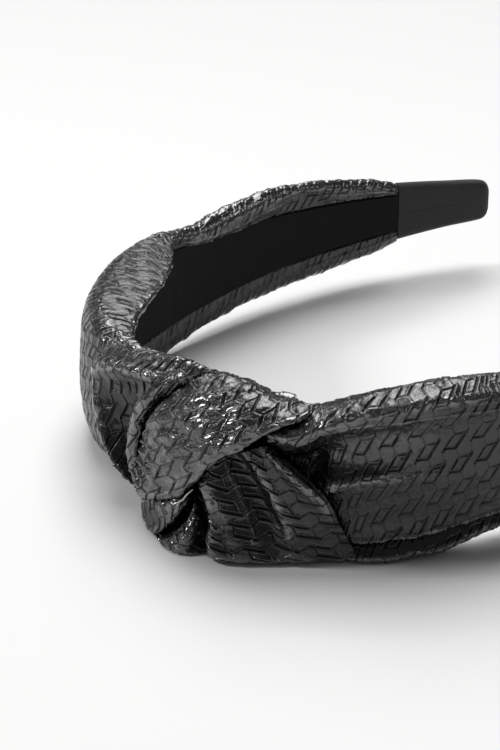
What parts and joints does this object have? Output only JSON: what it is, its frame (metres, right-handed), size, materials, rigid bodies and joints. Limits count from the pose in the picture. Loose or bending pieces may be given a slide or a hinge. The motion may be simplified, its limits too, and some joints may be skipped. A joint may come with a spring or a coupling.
{
  "type": "knotted headband",
  "caption": "Sprung U-shaped hair hoop covered in black embossed leather, with a tied knot beside the crown, a ribbon lining and narrow ribbon-wrapped ends that grip the head.",
  "frame": {"origin": "centre of the head space, on the axis of the crown's arc, at the middle of the band's width", "axes": "+Z along the axis of the crown's arc, across the band; -Y towards the crown; +Y towards the two open ends; the knot is towards +X"},
  "size_m": [0.124, 0.1626, 0.0363],
  "materials": {
    "leather": "black embossed leather with a fine crackle and a soft sheen",
    "ribbon": "matte black woven ribbon",
    "moulding": "moulded black plastic",
    "thread": "pale sewing thread"
  },
  "bodies": {
    "crown": {"core_hoop": "moulding", "inner_lining": "ribbon", "cover_centre": "leather", "knot_wrap": "leather", "knot_fan": "leather", "knot_lobe": "leather", "knot_bundle": "leather", "tack_thread": "thread"},
    "left_arm": {"cover_left": "leather", "tip_sleeve_left": "ribbon"},
    "right_arm": {"cover_right": "leather", "tip_sleeve_right": "ribbon"}
  },
  "joints": [
    {"name": "left_flex", "type": "hinge", "parent": "crown", "child": "left_arm", "pos_m": [-0.02011, -0.05173, 0], "axis": [0, 0, 1], "range_deg": [-3, 11], "stiffness_Nm_per_rad": 1.5, "deforming": ["core_hoop", "inner_lining"]},
    {"name": "right_flex", "type": "hinge", "parent": "crown", "child": "right_arm", "pos_m": [0.03783, -0.04061, 0], "axis": [0, 0, -1], "range_deg": [-3, 11], "stiffness_Nm_per_rad": 1.5, "deforming": ["core_hoop", "inner_lining"]}
  ]
}
